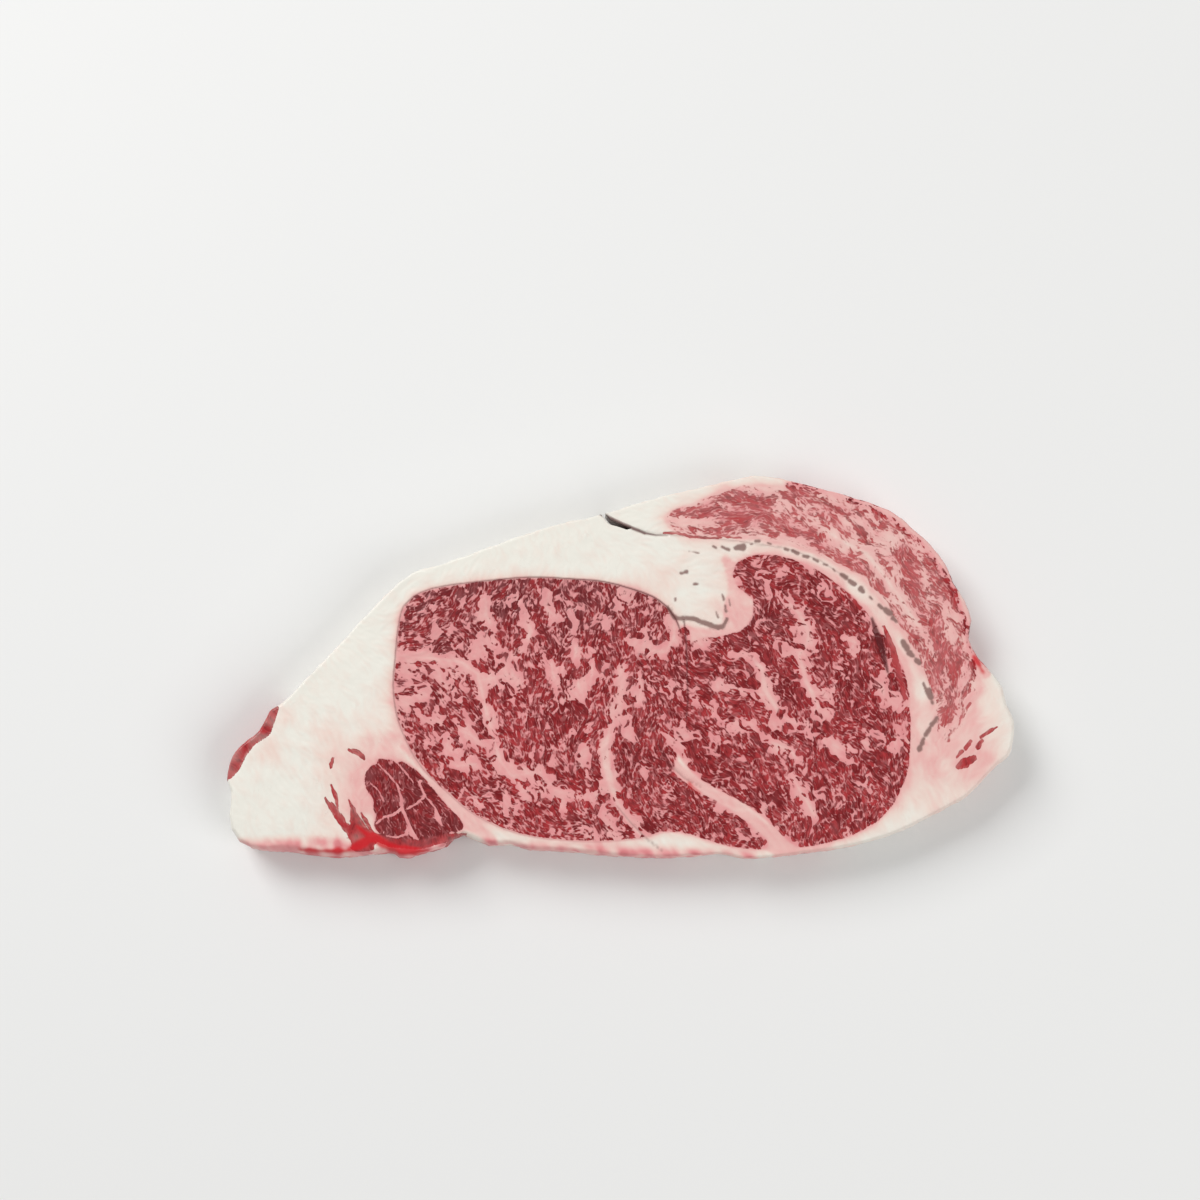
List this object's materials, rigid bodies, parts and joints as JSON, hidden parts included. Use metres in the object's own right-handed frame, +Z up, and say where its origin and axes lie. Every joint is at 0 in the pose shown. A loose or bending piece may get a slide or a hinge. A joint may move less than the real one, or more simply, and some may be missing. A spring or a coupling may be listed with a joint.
{
  "type": "raw wagyu sirloin steak",
  "caption": "Raw marbled beef steak, cut across an oval eye muscle, its curved cap muscles and a thick wedge of white fat.",
  "frame": {"origin": "middle of the steak's box on the flat cut face that it rests on", "axes": "+X along the steak's length towards the rounded end, +Y towards the fat cap's long straight edge, +Z up out of the other cut face"},
  "size_m": [0.246, 0.1204, 0.0158],
  "materials": {
    "fat": "moist white fat tinged pink at its edges",
    "eye_muscle": "moist red lean with fine marbling",
    "inner_cap_muscle": "moist dark red lean with streaked marbling",
    "outer_cap_muscle": "moist pink lean with dense marbling",
    "flank_muscle": "moist dark red lean with a few thin fat lines",
    "flank_sliver": "moist red lean",
    "edge_sliver": "moist pink-red lean",
    "gristle_strap": "satin grey-brown gristle"
  },
  "bodies": {
    "root": {"fat": "fat", "eye_muscle": "eye_muscle", "inner_cap_muscle": "inner_cap_muscle", "outer_cap_muscle": "outer_cap_muscle", "flank_muscle": "flank_muscle", "flank_sliver": "flank_sliver", "edge_sliver": "edge_sliver", "gristle_strap": "gristle_strap"}
  },
  "joints": []
}
